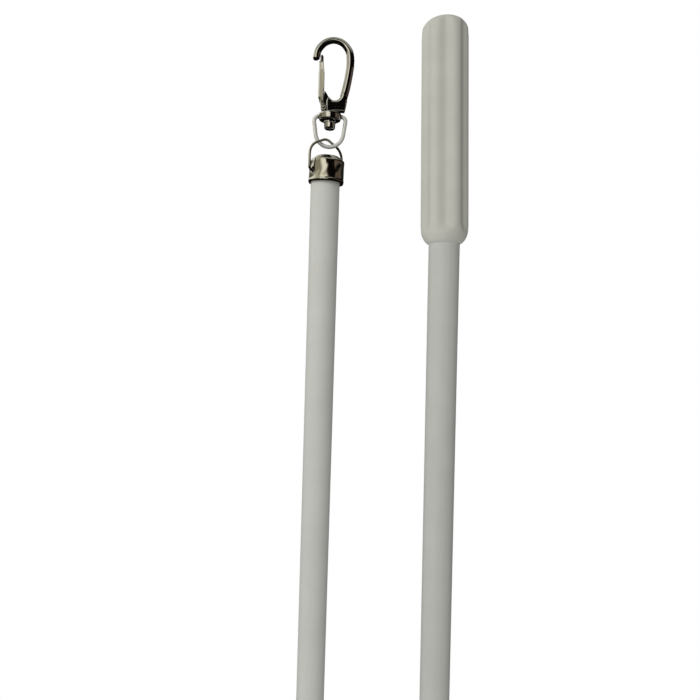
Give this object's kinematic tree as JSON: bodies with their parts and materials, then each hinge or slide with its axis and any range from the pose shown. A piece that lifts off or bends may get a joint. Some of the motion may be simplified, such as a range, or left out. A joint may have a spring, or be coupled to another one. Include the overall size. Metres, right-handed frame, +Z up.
{
  "type": "curtain draw wand",
  "caption": "Hanging draw wand: a white tube with a fluted grip below and a plated swivel snap hook linked to its capped top.",
  "frame": {"origin": "on the tube's axis at the lowest point of the grip's domed tip", "axes": "+Z up the tube from the grip to the hook, -Y the front, +X to the right, with the hook's opening in the XZ plane and its gate on the -X side"},
  "size_m": [0.0209, 0.0192, 0.6607],
  "materials": {
    "white_grip_plastic": "moulded, soft satin, off-white",
    "white_tube_plastic": "drawn tube, satin gloss, white",
    "plated_sheet": "pressed sheet, bright nickel plate",
    "plated_wire": "drawn wire, bright nickel plate",
    "plated_casting": "die casting, bright nickel plate",
    "spring_wire": "drawn spring steel"
  },
  "bodies": {
    "wand": {"handle_grip": "white_grip_plastic", "rod_tube": "white_tube_plastic", "end_cap": "plated_sheet"},
    "bail": {"bail_wire": "plated_wire"},
    "eye": {"swivel_eye": "plated_casting"},
    "hook": {"hook_body": "plated_casting", "swivel_rivet": "plated_casting", "gate_pin": "plated_wire", "gate_spring": "spring_wire"},
    "gate": {"gate": "plated_sheet"}
  },
  "joints": [
    {"name": "bail_swing", "type": "hinge", "parent": "wand", "child": "bail", "pos_m": [0, 0, 0.6027], "axis": [0.766, 0.6428, 0], "range_deg": [-90, 90]},
    {"name": "eye_tilt", "type": "hinge", "parent": "bail", "child": "eye", "pos_m": [0, 0, 0.617], "axis": [0.766, 0.6428, 0], "range_deg": [-75, 75]},
    {"name": "hook_swivel", "type": "hinge", "parent": "eye", "child": "hook", "pos_m": [0.0012, 0, 0.62905], "axis": [0, 0, 1], "continuous": true},
    {"name": "gate_hinge", "type": "hinge", "parent": "hook", "child": "gate", "pos_m": [-0.00165, 0, 0.63055], "axis": [0, 1, 0], "range_deg": [0, 15], "stiffness_Nm_per_rad": 0.01, "springref_deg": -28.65, "deforming": ["gate_spring"]}
  ]
}
